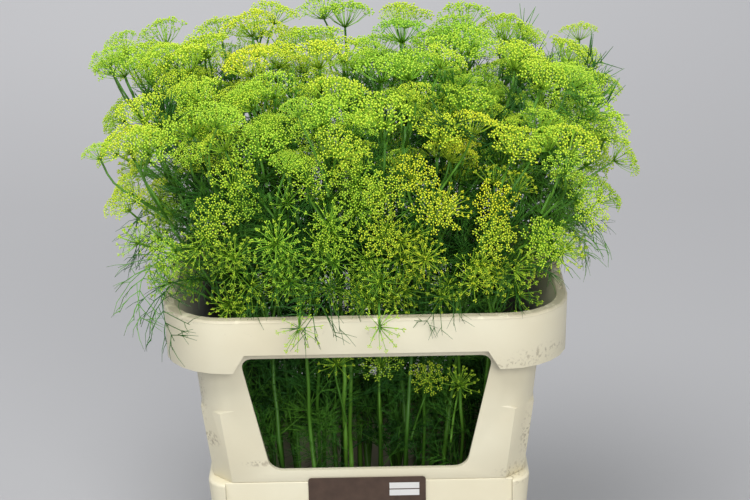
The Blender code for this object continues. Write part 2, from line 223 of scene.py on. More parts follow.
headKinds = {  # flat and dome are shares of the head's radius, open is in radians
    "flowering": {"rays": 24, "florets": 9, "pedicel": 0.0050, "knob": 0.00105, "stretch": 0.9, "open": 1.20,
                  "flat": 0.40, "dome": 0.26, "thick": 0.00036, "uneven": 0.14},
    "domed": {"rays": 24, "florets": 8, "pedicel": 0.0046, "knob": 0.00100, "stretch": 1.0, "open": 1.15,
              "flat": 0.34, "dome": 0.40, "thick": 0.00036, "uneven": 0.12},
    "budding": {"rays": 26, "florets": 4, "pedicel": 0.0030, "knob": 0.00078, "stretch": 2.2, "open": 0.75,
                "flat": 0.06, "dome": 0.72, "thick": 0.00042, "uneven": 0.06},
    "young": {"rays": 20, "florets": 5, "pedicel": 0.0034, "knob": 0.00074, "stretch": 1.8, "open": 0.85,
              "flat": 0.26, "dome": 0.40, "thick": 0.00044, "uneven": 0.08},
}
headRadius = 0.027  # the size that the heads are drawn at


def makeHead(kind, draw):
    bm = bmesh.new()
    floret = makeFloret(kind["pedicel"], kind["knob"], kind["stretch"])
    inner = headRadius - kind["pedicel"] * 0.8
    for ray in range(kind["rays"]):
        reach = math.sqrt((ray + 0.6) / kind["rays"]) * inner * draw.uniform(0.93, 1.05)
        turn = ray * golden + draw.uniform(-0.15, 0.15)
        rise = kind["flat"] + kind["dome"] * (1 - (reach / headRadius) ** 2)
        rise *= headRadius * draw.uniform(1 - kind["uneven"], 1 + kind["uneven"])
        tip = Vector((math.cos(turn) * reach, math.sin(turn) * reach, rise))
        middle = tip * 0.5 + Vector((tip.x, tip.y, 0)) * 0.05 - up * 0.0012
        thick = kind["thick"]
        addStrand(bm, [Vector((0, 0, -0.0004)), middle, tip], [thick * 1.3, thick, thick * 0.8], 3, "ray")
        facing = (tip - middle + up * 0.004).normalized()
        for bloom in range(kind["florets"]):
            lean = math.sqrt((bloom + 0.3) / kind["florets"]) * kind["open"] * draw.uniform(0.85, 1.1)
            spin = bloom * golden + draw.uniform(-0.3, 0.3)
            local = Vector((math.sin(lean) * math.cos(spin), math.sin(lean) * math.sin(spin), math.cos(lean)))
            direction = facing.to_track_quat("Z", "Y") @ local
            addMesh(bm, floret, aim(tip, direction, draw.uniform(0.85, 1.12)))
    bpy.data.meshes.remove(floret)
    return newMesh("head", bm)


leafKinds = {  # sag is how much a leaf turns down over its length
    "upright": {"length": 0.088, "pairs": 7, "sag": 0.10, "thread": 0.019, "thick": 0.00036,
                "forks": 4, "bends": 1},
    "arching": {"length": 0.100, "pairs": 7, "sag": 0.75, "thread": 0.020, "thick": 0.00036,
                "forks": 4, "bends": 2},
    "tuft": {"length": 0.060, "pairs": 6, "sag": 0.30, "thread": 0.026, "thick": 0.00034,
             "forks": 5, "bends": 1},
    "dense": {"length": 0.072, "pairs": 6, "sag": 0.25, "thread": 0.030, "thick": 0.00066,
              "forks": 4, "bends": 1},
    "hanging": {"length": 0.110, "pairs": 8, "sag": 1.7, "thread": 0.022, "thick": 0.00038,
                "forks": 3, "bends": 2},
}
spineSteps = 6
pinnaSteps = 3


def bent(start, direction, length, sag, steps):
    points, spot, heading = [start], start.copy(), direction.normalized()
    for _ in range(steps):
        spot = spot + heading * (length / steps)
        points.append(spot)
        heading = (heading - up * (sag / steps)).normalized()
    return points


def alongLine(points, share):
    step = min(int(share), len(points) - 2)
    return points[step].lerp(points[step + 1], share - step)


def makeLeaf(kind, draw):
    bm = bmesh.new()
    thick, sag = kind["thick"], kind["sag"]
    spine = bent(Vector(), Vector((0.25, 0, 1)), kind["length"], sag * 1.6, spineSteps)
    addStrand(bm, spine, [thick * (1.5 - 0.1 * step) for step in range(len(spine))], 3, "thread")
    for pair in range(kind["pairs"]):
        along = 0.16 + 0.84 * (pair + 0.5) / kind["pairs"]
        step = min(int(along * spineSteps), spineSteps - 1)
        root = alongLine(spine, along * spineSteps)
        heading = (spine[step + 1] - spine[step]).normalized()
        reach = kind["length"] * 0.36 * math.sin(math.pi * (0.25 + 0.70 * along)) + 0.004
        for side in (-1, 1):
            sideways = Vector((0, side, 0)) + Vector((jitter(draw, 0.6), 0, jitter(draw, 0.2)))
            droop = sag * 0.5 + draw.uniform(-0.1, 0.2)
            pinna = bent(root, heading * 0.9 + sideways, reach, droop, pinnaSteps)
            addStrand(bm, pinna, [thick * 1.2, thick, thick, thick * 0.6], 3, "thread")
            for _ in range(kind["forks"]):
                base = alongLine(pinna, draw.uniform(0.15, 0.95) * pinnaSteps)
                away = Vector((draw.uniform(-1, 1), draw.uniform(-1, 1), draw.uniform(-0.5, 1)))
                course = (pinna[-1] - pinna[0]).normalized() + away * 0.75
                length = kind["thread"] * draw.uniform(0.45, 1.0)
                thread = bent(base, course, length, sag * 0.4 + draw.uniform(-0.2, 0.3), kind["bends"])
                thins = [thick * (1 - 0.6 * step / kind["bends"]) for step in range(len(thread))]
                addStrand(bm, thread, thins, 3, "thread")
    return newMesh("leaf", bm)


growth = {  # how each stem is drawn
    "sides": {"stalk": 8, "shoot": 5}, "stout": (0.8, 1.2), "lean": 0.018, "wander": 0.0016, "nod": 0.22,
    "headSwell": 1.14, "backSwell": 0.98, "backFrom": 0.14,  # the drawn heads over the solids' size
    "tilt": (0.35, 1.0), "tiltGain": 1.4, "leafMargin": 1.2,
    "wallLimits": [(-0.132, 0.132), (-0.092, 0.092)],  # for leaves that start inside the collar
    "leafLimits": [(-0.268, 0.270), (-0.222, 0.182)],
    "evenRipeness": 0.42, "ripenessJitter": 0.16,
    # patches: middle, reach, how much yellower or greener
    "ripe": [((0.09, -0.13, 0.50), 0.075, 0.55), ((-0.09, 0.02, 0.62), 0.07, 0.5),
             ((-0.20, -0.08, 0.53), 0.06, 0.3)],
    "green": [((0.06, 0.02, 0.60), 0.07, 0.35), ((-0.07, -0.12, 0.47), 0.06, 0.25)],
}
crowd = {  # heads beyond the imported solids; levels and heights count from the rim's top
    "edgeLevels": (0.012, 0.045, 0.075, 0.106, 0.14), "edgeJitter": 0.010, "edgeDrop": 0.03,
    "edgeReach": 0.014, "edgeFan": 0.11, "fanTop": 0.07, "edgeAlong": 0.026,
    "lowRise": (0.2, 0.5), "highRise": (0.6, 1.1), "highFrom": 0.09, "edgeSize": (0.018, 0.023),
    "inner": 3, "innerDrop": (0.025, 0.12), "innerReach": (0.015, 0.028), "innerSize": (0.017, 0.022),
    "crown": 3, "crownSteps": (0.012, -0.006, -0.02, -0.04), "crownReach": (0.018, 0.034),
    "crownSize": (0.014, 0.024), "crownLimits": (-0.245, 0.250, 0.160), "highest": 0.632,
    "front": 3, "frontHeight": 0.075, "frontReach": (0.022, 0.034), "frontSize": (0.017, 0.024),
    "windowColumns": (3, 4, 5, 6), "windowDrop": (0.066, 0.094), "shoot": 0.07, "frontShoot": 0.06,
}


def ripenessAt(spot, draw):
    ripe = growth["evenRipeness"] + jitter(draw, growth["ripenessJitter"])
    for sign, patches in ((1, growth["ripe"]), (-1, growth["green"])):
        for middle, reach, gain in patches:
            ripe += sign * gain * math.exp(-((spot - Vector(middle)).length / reach) ** 2)
    return min(1, max(0, ripe))


def smoothLine(points, steps):
    found = []
    for here in range(len(points) - 1):
        before, low = points[max(here - 1, 0)], points[here]
        high, after = points[here + 1], points[min(here + 2, len(points) - 1)]
        for step in range(steps):
            t = step / steps
            squared = (2 * before - 5 * low + 4 * high - after) * t * t
            cubed = (3 * low - before - 3 * high + after) * t ** 3
            found.append(0.5 * (2 * low + (high - before) * t + squared + cubed))
    found.append(points[-1].copy())
    return found


def lineAt(line, height):
    for low, high in zip(line, line[1:]):
        if low.z <= height <= high.z:
            return low.lerp(high, (height - low.z) / (high.z - low.z))
    return line[-1].copy()


def shootLine(root, tip, direction):
    end = tip + direction * 0.001
    if tip.y < -bunch["rimHalf"][1] - 0.02:
        over = Vector((root.x, -bunch["rimHalf"][1] + bunch["rimLand"] / 2, bunch["rimTop"] + 0.014))
        return [root, root.lerp(over, 0.5) + up * 0.008, over, over.lerp(tip, 0.6), end]
    bend = tip - direction * (tip - root).length * 0.45
    return [root, root.lerp(bend, 0.5) + up * 0.004, bend.lerp(tip, 0.35), end]


def edgeHeads(across, back, out, top, draw):
    along = Vector((-out.y, out.x, 0))
    found = []
    for level in crowd["edgeLevels"]:
        height = bunch["rimTop"] + level + jitter(draw, crowd["edgeJitter"])
        if height > top - crowd["edgeDrop"]:
            continue
        reach = crowd["edgeReach"] + crowd["edgeFan"] * min(level, crowd["fanTop"])
        reach += draw.uniform(-0.008, 0.009)
        tip = place(across, back, height) + out * reach + along * jitter(draw, crowd["edgeAlong"])
        rise = draw.uniform(*crowd["lowRise" if level < crowd["highFrom"] else "highRise"])
        direction = (out + along * jitter(draw, 0.4) + up * rise).normalized()
        found.append((height - crowd["shoot"], tip, direction, draw.uniform(*crowd["edgeSize"])))
    return found


def innerHeads(across, back, top, draw):
    found = []
    for _ in range(crowd["inner"]):
        side = anySide(draw)
        height = top - draw.uniform(*crowd["innerDrop"])
        tip = place(across, back, height) + side * draw.uniform(*crowd["innerReach"])
        direction = (side * 0.4 + up).normalized()
        found.append((height - crowd["shoot"], tip, direction, draw.uniform(*crowd["innerSize"])))
    return found


def crownHeads(across, back, top, draw):
    left, right, behind = crowd["crownLimits"]
    found = []
    for _ in range(crowd["crown"]):
        side = anySide(draw)
        height = top + draw.choice(crowd["crownSteps"]) + draw.uniform(-0.008, 0.006)
        tip = place(across, back, height) + side * draw.uniform(*crowd["crownReach"])
        tip.x, tip.y = max(left, min(right, tip.x)), min(tip.y, behind)
        tip.z = min(tip.z, crowd["highest"])
        direction = (side * 0.45 + up).normalized()
        found.append((top - crowd["shoot"], tip, direction, draw.uniform(*crowd["crownSize"])))
    return found


def frontHeads(across, back, draw):
    found = []
    for _ in range(crowd["front"]):
        height = bunch["rimTop"] + draw.uniform(0.0, crowd["frontHeight"])
        shift = Vector((jitter(draw, 0.026), -draw.uniform(*crowd["frontReach"]), 0))
        direction = Vector((jitter(draw, 0.4), -1, draw.uniform(0.2, 0.9))).normalized()
        tip = place(across, back, height) + shift
        found.append((height - crowd["frontShoot"], tip, direction, draw.uniform(*crowd["frontSize"])))
    return found


def windowHead(across, back, draw):
    height = bunch["rimTop"] - draw.uniform(*crowd["windowDrop"])
    tip = place(across, back, height) + Vector((draw.uniform(-0.012, 0.02), -0.012, 0))
    direction = Vector((0.1, -0.7, 1)).normalized()
    return height - crowd["shoot"], tip, direction, draw.uniform(*crowd["edgeSize"])


def extraHeads(column, row, across, back, out, line, draw):
    top = line[-1].z
    found = edgeHeads(across, back, out, top, draw) if out.length else innerHeads(across, back, top, draw)
    found += crownHeads(across, back, top, draw)
    if row == 0:
        found += frontHeads(across, back, draw)
        if column in crowd["windowColumns"]:
            found.append(windowHead(across, back, draw))
    return found


foliage = {  # where the thread leaves start
    "inside": 6, "insideFrom": 0.172, "insideDepth": 0.20, "insideSize": (0.7, 1.05),
    "above": 4, "aboveSize": (0.65, 0.95), "outward": 0.7,
    "rimHeight": (0.010, 0.035), "rimSize": (0.65, 0.9),
    "windowColumns": (1, 2), "windowHeight": 0.205, "windowSize": 0.42,
    "sprigColumn": 3, "sprigHeight": 0.022, "sprigShifts": (-0.5, -0.1, 0.3), "sprigSize": 1.15,
    "screen": 8, "screenHeight": (0.17, 0.34), "screenSize": (0.75, 0.95),
    "curtain": [(0.17, 0.36, 2), (0.36, 0.55, 5)],  # from, to, how many
    "curtainSize": (0.75, 1.05),
    "sides": 2, "sideHeight": (0.020, 0.055), "sideSize": (0.85, 1.2),
}


def innerLeaves(row, column, out, line, draw):
    rim, found = bunch["rimTop"], []
    outer = row in (0, bunch["rows"] - 1) or column in (0, bunch["columns"] - 1)
    count = foliage["inside"] if outer else foliage["inside"] - 2
    for index in range(count):
        height = foliage["insideFrom"] + foliage["insideDepth"] * (index + draw.uniform(0.1, 0.9)) / count
        side = anySide(draw)
        if out.length and side.dot(out) > -0.1:
            side = (side - out * (side.dot(out) + 0.25)).normalized()
        size = draw.uniform(*foliage["insideSize"])
        found.append((height, side, size, draw.choice(("tuft", "upright", "tuft"))))
    for index in range(foliage["above"]):
        height = rim + 0.01 + (line[-1].z - rim - 0.06) * (index + draw.random()) / foliage["above"]
        side = anySide(draw)
        if out.length:
            side = (side + out * (foliage["outward"] if out.y <= 0 else 0)).normalized()
        size = draw.uniform(*foliage["aboveSize"])
        found.append((height, side, size, draw.choice(("upright", "arching", "tuft"))))
    return found


def leafSpots(column, row, out, line, draw):
    rim, lastRow = bunch["rimTop"], bunch["rows"] - 1
    found = innerLeaves(row, column, out, line, draw)
    if out.length:
        height = rim + draw.uniform(*foliage["rimHeight"])
        found.append((height, out, draw.uniform(*foliage["rimSize"]), "hanging"))
    if row == 0 and column in foliage["windowColumns"]:
        side = Vector((draw.uniform(-0.3, 0.1), -1, 0)).normalized()
        found.append((foliage["windowHeight"], side, foliage["windowSize"], "hanging"))
    if row == 0 and column == foliage["sprigColumn"]:
        for shift in foliage["sprigShifts"]:
            side = Vector((shift, -1, 0)).normalized()
            found.append((rim + foliage["sprigHeight"], side, foliage["sprigSize"], "hanging"))
    for index in range(foliage["screen"] if row == lastRow else 0):
        side = Vector((1 if index % 2 else -1, -0.25, 0)).normalized()
        height = draw.uniform(*foliage["screenHeight"])
        found.append((height, side, draw.uniform(*foliage["screenSize"]), "dense"))
    for low, high, count in foliage["curtain"] if row > 0 else []:
        for _ in range(count):
            side = anySide(draw)
            if row == lastRow:
                side = (side - out).normalized()
            found.append((draw.uniform(low, high), side, draw.uniform(*foliage["curtainSize"]), "dense"))
    for _ in range(foliage["sides"] if out.x else 0):
        side = (out + Vector((0, draw.uniform(-0.5, 0.5), 0))).normalized()
        height = rim + draw.uniform(*foliage["sideHeight"])
        found.append((height, side, draw.uniform(*foliage["sideSize"]), "hanging"))
    return found


def growStalk(bm, line, draw):
    course = smoothLine(line, 4)
    lean = Vector((draw.uniform(-1, 1), draw.uniform(-1, 1), 0)) * growth["lean"]
    for index, spot in enumerate(course):
        spot += lean * math.sin(math.pi * min(1, spot.z / bunch["rimTop"])) ** 2
        ease = math.sin(math.pi * index / (len(course) - 1))
        spot += Vector((draw.uniform(-1, 1), draw.uniform(-1, 1), 0)) * growth["wander"] * ease
    low, high = bunch["stalkRadius"]
    stout = draw.uniform(*growth["stout"])
    foot, rise = course[0].z, course[-1].z - course[0].z
    radii = [stout * (low + (high - low) * (spot.z - foot) / rise) for spot in course]
    addStrand(bm, course, radii, growth["sides"]["stalk"], "stalk", draw.uniform(0.2, 0.8))


def growHead(bm, line, grown, heads, draw):
    start, tip, direction, radius = grown
    if start is not None:
        shoot = smoothLine(shootLine(lineAt(line, start), tip, direction), 3)
        thin = [bunch["shootRadius"] * (1.2 - 0.35 * step / len(shoot)) for step in range(len(shoot))]
        addStrand(bm, shoot, thin, growth["sides"]["shoot"], "stalk", draw.uniform(0.3, 0.9))
    lower = tip.z < bunch["rimTop"] + draw.uniform(0.06, 0.13)
    kinds = ("budding", "budding", "young") if lower else ("flowering", "domed", "flowering")
    if tip.z < bunch["rimTop"] - 0.03:
        kinds = ("domed", "budding")
    head = draw.choice(heads[draw.choice(kinds)])
    if tip.y < -bunch["rimHalf"][1] - 0.02:
        direction, tip = Vector((0.1, -1, 0.15)).normalized(), tip + Vector((0, 0.012, 0))
    direction = (direction + Vector([draw.uniform(-1, 1) for _ in range(3)]) * growth["nod"]).normalized()
    swell = growth["headSwell"] if tip.y < growth["backFrom"] else growth["backSwell"]
    matrix = aim(tip, direction, radius * swell / headRadius, draw.uniform(0, 6.28))
    addMesh(bm, head, matrix, ripenessAt(tip, draw))


def growLeaf(bm, line, spot, leaves, draw):
    height, side, size, kind = spot
    root = lineAt(line, height)
    direction = (side + up * draw.uniform(*growth["tilt"]) * growth["tiltGain"]).normalized()
    reached = root + direction * leafKinds[kind]["length"] * size * growth["leafMargin"]
    walled = height < bunch["rimTop"] + 0.02 and kind != "hanging"
    for axis, (least, most) in enumerate(growth["wallLimits" if walled else "leafLimits"]):
        if not least < reached[axis] < most:
            direction[axis] *= -0.5
    leaf = draw.choice(leaves[kind])
    addMesh(bm, leaf, aim(root, direction, size, draw.uniform(0, 6.28)), draw.random())


def makeStem(number, column, row, plan, heads, leaves, materials):
    across, back, out, line, planned = plan
    draw = random.Random(1000 + number)
    name = f"dill_stem_{number:02d}"
    bm = bmesh.new()
    bm.verts.layers.float.new("tint")
    growStalk(bm, line, draw)
    for grown in planned + extraHeads(column, row, across, back, out, line, draw):
        growHead(bm, line, grown, heads, draw)
    for spot in leafSpots(column, row, out, line, draw):
        growLeaf(bm, line, spot, leaves, draw)
    mesh = newMesh(name + "_grown", bm)
    for material in materials:
        mesh.materials.append(material)
    stem = bpy.data.objects.new(name + "_plant", mesh)
    bpy.context.scene.collection.objects.link(stem)
    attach(stem, "root")
    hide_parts(name)


def newMaterial(name):
    material = bpy.data.materials.new(name)
    material.use_nodes = True
    tree = material.node_tree
    return material, tree, tree.nodes["Principled BSDF"]


def addNode(tree, kind, **values):
    node = tree.nodes.new(kind)
    for key, value in values.items():
        if hasattr(node, key):
            setattr(node, key, value)
        else:
            node.inputs[key].default_value = value
    return node


def ramp(tree, factor, stops):
    node = tree.nodes.new("ShaderNodeValToRGB")
    elements = node.color_ramp.elements
    while len(elements) < len(stops):
        elements.new(0.5)
    for element, (position, colour) in zip(elements, stops):
        element.position = position
        element.color = (*colour, 1)
    tree.links.new(factor, node.inputs["Fac"])
    return node.outputs["Color"]


def addSockets(tree, inputs, outputs):
    for way, sockets in (("INPUT", inputs), ("OUTPUT", outputs)):
        for name, kind in sockets:
            tree.interface.new_socket(name=name, in_out=way, socket_type="NodeSocket" + kind)
    return tree.nodes.new("NodeGroupInput"), tree.nodes.new("NodeGroupOutput")


def grainGroup():
    tree = bpy.data.node_groups.new("plantGrain", "ShaderNodeTree")
    inputs = [("Vector", "Vector"), ("Scale", "Vector"), ("Tint", "Float"), ("Share", "Float"),
              ("Bump", "Float")]
    given, result = addSockets(tree, inputs, [("Shade", "Float"), ("Normal", "Vector")])
    stretch = addNode(tree, "ShaderNodeMapping")
    grain = addNode(tree, "ShaderNodeTexNoise", Scale=1.0, Detail=3.0)
    mixed = addNode(tree, "ShaderNodeMath", operation="MULTIPLY_ADD")
    half = addNode(tree, "ShaderNodeMath", operation="MULTIPLY")
    half.inputs[1].default_value = 0.5
    centred = addNode(tree, "ShaderNodeMath", operation="SUBTRACT")
    bump = addNode(tree, "ShaderNodeBump", Distance=0.0004)
    link = tree.links.new
    link(given.outputs["Vector"], stretch.inputs["Vector"])
    link(given.outputs["Scale"], stretch.inputs["Scale"])
    link(stretch.outputs["Vector"], grain.inputs["Vector"])
    link(grain.outputs["Fac"], mixed.inputs[0])
    link(given.outputs["Share"], mixed.inputs[1])
    link(given.outputs["Tint"], mixed.inputs[2])
    link(given.outputs["Share"], half.inputs[0])
    link(mixed.outputs["Value"], centred.inputs[0])
    link(half.outputs["Value"], centred.inputs[1])
    link(centred.outputs["Value"], result.inputs["Shade"])
    link(given.outputs["Bump"], bump.inputs["Strength"])
    link(grain.outputs["Fac"], bump.inputs["Height"])
    link(bump.outputs["Normal"], result.inputs["Normal"])
    return tree


def plantMaterial(name, settings, group):
    material, tree, shader = newMaterial(name)
    coords = addNode(tree, "ShaderNodeTexCoord")
    tint = addNode(tree, "ShaderNodeAttribute", attribute_name="tint")
    grain = addNode(tree, "ShaderNodeGroup", node_tree=group)
    grain.inputs["Scale"].default_value = settings["grainScale"]
    grain.inputs["Share"].default_value = settings["grainShare"]
    grain.inputs["Bump"].default_value = settings["bump"]
    tree.links.new(coords.outputs["Object"], grain.inputs["Vector"])
    tree.links.new(tint.outputs["Fac"], grain.inputs["Tint"])
    colour = ramp(tree, grain.outputs["Shade"], settings["stops"])
    tree.links.new(colour, shader.inputs["Base Color"])
    tree.links.new(grain.outputs["Normal"], shader.inputs["Normal"])
    shader.inputs["Roughness"].default_value = settings["roughness"]
    shader.inputs["Specular IOR Level"].default_value = 0.3
    return material


plantFinish = {
    "stalkGreen": {"grainScale": (900, 900, 12), "grainShare": 0.5, "bump": 0.35, "roughness": 0.42,
                   "stops": [(0.0, (0.03, 0.10, 0.012)), (0.5, (0.075, 0.21, 0.02)),
                             (1.0, (0.16, 0.36, 0.035))]},
    "rayGreen": {"grainScale": (260, 260, 260), "grainShare": 0.5, "bump": 0.1, "roughness": 0.5,
                 "stops": [(0.0, (0.17, 0.44, 0.03)), (0.5, (0.31, 0.57, 0.035)),
                             (1.0, (0.50, 0.66, 0.04))]},
    "flowerYellow": {"grainScale": (420, 420, 420), "grainShare": 0.5, "bump": 0.2, "roughness": 0.6,
                     "stops": [(0.0, (0.34, 0.64, 0.05)), (0.45, (0.54, 0.75, 0.05)),
                               (1.0, (0.83, 0.83, 0.035))]},
    "threadGreen": {"grainScale": (60, 60, 60), "grainShare": 0.6, "bump": 0.1, "roughness": 0.55,
                    "stops": [(0.0, (0.018, 0.09, 0.012)), (0.5, (0.045, 0.18, 0.018)),
                             (1.0, (0.12, 0.33, 0.03))]},
}


def spotGroup():
    tree = bpy.data.node_groups.new("scuffSpot", "ShaderNodeTree")
    inputs = [("Vector", "Vector"), ("Spot", "Vector"), ("Reach", "Vector"), ("Grain", "Float"),
              ("Threshold", "Float"), ("Strength", "Float")]
    given, result = addSockets(tree, inputs, [("Mask", "Float")])
    away = addNode(tree, "ShaderNodeVectorMath", operation="SUBTRACT")
    scaled = addNode(tree, "ShaderNodeVectorMath", operation="DIVIDE")
    length = addNode(tree, "ShaderNodeVectorMath", operation="LENGTH")
    near = addNode(tree, "ShaderNodeMapRange", interpolation_type="SMOOTHSTEP")
    near.inputs["From Min"].default_value, near.inputs["From Max"].default_value = 1.0, 0.25
    noise = addNode(tree, "ShaderNodeTexNoise")
    noise.inputs["Detail"].default_value = 4.0
    torn = addNode(tree, "ShaderNodeMath", operation="SUBTRACT")
    sharp = addNode(tree, "ShaderNodeMath", operation="MULTIPLY", use_clamp=True)
    both = addNode(tree, "ShaderNodeMath", operation="MULTIPLY")
    strong = addNode(tree, "ShaderNodeMath", operation="MULTIPLY")
    sharp.inputs[1].default_value = 9.0  # how crisp a scuff's edge is
    link = tree.links.new
    link(given.outputs["Vector"], away.inputs[0])
    link(given.outputs["Spot"], away.inputs[1])
    link(away.outputs["Vector"], scaled.inputs[0])
    link(given.outputs["Reach"], scaled.inputs[1])
    link(scaled.outputs["Vector"], length.inputs[0])
    link(length.outputs["Value"], near.inputs["Value"])
    link(given.outputs["Vector"], noise.inputs["Vector"])
    link(given.outputs["Grain"], noise.inputs["Scale"])
    link(noise.outputs["Fac"], torn.inputs[0])
    link(given.outputs["Threshold"], torn.inputs[1])
    link(torn.outputs["Value"], sharp.inputs[0])
    link(sharp.outputs["Value"], both.inputs[0])
    link(near.outputs["Result"], both.inputs[1])
    link(both.outputs["Value"], strong.inputs[0])
    link(given.outputs["Strength"], strong.inputs[1])
    link(strong.outputs["Value"], result.inputs["Mask"])
    return tree


plastic = {
    "light": (0.800, 0.745, 0.560), "dull": (0.740, 0.670, 0.480), "grime": (0.28, 0.22, 0.14),
    # inside is a painted shade colour, near black, laid on the inner walls where shade falls below the rim
    "inside": (0.016, 0.020, 0.012),
    # the mottle stops vary the strength of the painted inside shade between 0.9 and 1
    "cloudScale": 9.0, "cloudStops": (0.30, 0.62), "shadeMottleStops": [(0.3, (0.90, 0.90, 0.90)), (0.7, (1, 1, 1))],
    "roughness": (0.40, 0.75), "gloss": (0.5, 0.08),  # clean to scuffed, outside to inside
    "peelScale": 220.0, "peelBump": 0.05, "peelDepth": 0.0003,
    # scuffs: middle, reach, grain, threshold, strength
    "scuffs": [
        ((0.180, -0.150, 0.343), (0.050, 0.06, 0.012), 260, 0.52, 0.55),
        ((0.135, -0.152, 0.335), (0.060, 0.03, 0.010), 420, 0.55, 0.45),
        ((-0.168, -0.118, 0.290), (0.012, 0.05, 0.055), 300, 0.55, 0.50),
        ((-0.158, -0.112, 0.245), (0.014, 0.03, 0.012), 330, 0.48, 0.65),
        ((-0.108, -0.123, 0.222), (0.022, 0.02, 0.005), 350, 0.44, 0.50),
        ((0.162, -0.112, 0.240), (0.014, 0.03, 0.040), 300, 0.52, 0.55),
        ((0.150, -0.118, 0.205), (0.030, 0.03, 0.016), 280, 0.52, 0.45),
        ((-0.190, -0.140, 0.384), (0.050, 0.05, 0.004), 300, 0.50, 0.45),
        ((0.0, 0.0, 0.3870), (0.600, 0.50, 0.006), 60, 0.34, 0.50),
        ((-0.030, -0.150, 0.372), (0.160, 0.02, 0.004), 160, 0.58, 0.22),
        ((0.130, 0.152, 0.345), (0.060, 0.03, 0.016), 300, 0.54, 0.45),
        ((-0.205, 0.02, 0.350), (0.03, 0.090, 0.020), 280, 0.55, 0.40),
        ((0.0, -0.115, 0.060), (0.150, 0.03, 0.040), 120, 0.56, 0.22),
        ((0.0, 0.0, 0.0), (0.200, 0.15, 0.035), 90, 0.46, 0.40),
    ],
}


def plasticMaterial(name):
    material, tree, shader = newMaterial(name)
    coords = addNode(tree, "ShaderNodeTexCoord")
    where = coords.outputs["Object"]
    cloud = addNode(tree, "ShaderNodeTexNoise", Scale=plastic["cloudScale"], Detail=5.0)
    tree.links.new(where, cloud.inputs["Vector"])
    shades = list(zip(plastic["cloudStops"], (plastic["dull"], plastic["light"])))
    colour = ramp(tree, cloud.outputs["Fac"], shades)
    group = spotGroup()
    total = None
    for middle, reach, grain, threshold, strength in plastic["scuffs"]:
        spot = addNode(tree, "ShaderNodeGroup", node_tree=group)
        tree.links.new(where, spot.inputs["Vector"])
        values = {"Spot": middle, "Reach": reach, "Grain": grain, "Threshold": threshold,
                  "Strength": strength}
        for key, value in values.items():
            spot.inputs[key].default_value = value
        if total is None:
            total = spot.outputs["Mask"]
            continue
        more = addNode(tree, "ShaderNodeMath", operation="MAXIMUM")
        tree.links.new(total, more.inputs[0])
        tree.links.new(spot.outputs["Mask"], more.inputs[1])
        total = more.outputs["Value"]
    dirty = addNode(tree, "ShaderNodeMix", data_type="RGBA")
    tree.links.new(total, dirty.inputs[0])
    tree.links.new(colour, dirty.inputs[6])
    dirty.inputs[7].default_value = (*plastic["grime"], 1)
    # painted shade: inward faces below the rim are mixed towards the near-black inside colour, slightly
    # mottled
    inside = addNode(tree, "ShaderNodeAttribute", attribute_name="inside")
    insideShade = addNode(tree, "ShaderNodeMix", data_type="RGBA")
    deep = addNode(tree, "ShaderNodeMath", operation="MULTIPLY", use_clamp=True)
    shadeMottle = ramp(tree, cloud.outputs["Fac"], plastic["shadeMottleStops"])
    tree.links.new(inside.outputs["Fac"], deep.inputs[0])
    tree.links.new(shadeMottle, deep.inputs[1])
    tree.links.new(deep.outputs["Value"], insideShade.inputs[0])
    tree.links.new(dirty.outputs[2], insideShade.inputs[6])
    insideShade.inputs[7].default_value = (*plastic["inside"], 1)
    tree.links.new(insideShade.outputs[2], shader.inputs["Base Color"])
    gloss = addNode(tree, "ShaderNodeMapRange")
    gloss.inputs["To Min"].default_value, gloss.inputs["To Max"].default_value = plastic["gloss"]
    tree.links.new(deep.outputs["Value"], gloss.inputs["Value"])
    tree.links.new(gloss.outputs["Result"], shader.inputs["Specular IOR Level"])
    rough = addNode(tree, "ShaderNodeMapRange")
    rough.inputs["To Min"].default_value, rough.inputs["To Max"].default_value = plastic["roughness"]
    tree.links.new(total, rough.inputs["Value"])
    tree.links.new(rough.outputs["Result"], shader.inputs["Roughness"])
    peel = addNode(tree, "ShaderNodeTexNoise", Scale=plastic["peelScale"])
    tree.links.new(where, peel.inputs["Vector"])
    bump = addNode(tree, "ShaderNodeBump", Strength=plastic["peelBump"], Distance=plastic["peelDepth"])
    tree.links.new(peel.outputs["Fac"], bump.inputs["Height"])
    tree.links.new(bump.outputs["Normal"], shader.inputs["Normal"])
    return material


shells = {  # edge rounding, and the heights between which the painted shade inside grows dark
    "bucket": {"bevel": 0.0012, "insideFrom": 0.20, "insideTo": 0.19},
    "collar": {"bevel": 0.0008, "insideFrom": 0.384, "insideTo": 0.335},
}
skin = {"merge": 0.00002, "flatAngle": math.radians(0.8), "edgeAngle": math.radians(32), "inward": -0.02,
        "windowHalf": 0.126}


# painted shade: marks the inward faces, darker the deeper they lie below the rim; the window's cut edges are
# left out
def paintInsideShade(bm, settings):
    layer = bm.loops.layers.float.new("inside")
    top, deep = settings["insideFrom"], settings["insideTo"]
    for face in bm.faces:
        middle = face.calc_center_median()
        windowEdge = abs(face.normal.y) < 0.5 and abs(middle.x) < skin["windowHalf"]
        if middle.xy.dot(face.normal.xy) >= skin["inward"] or windowEdge:
            continue
        for corner in face.loops:
            corner[layer] = min(1, max(0, (top - corner.vert.co.z) / (top - deep)))


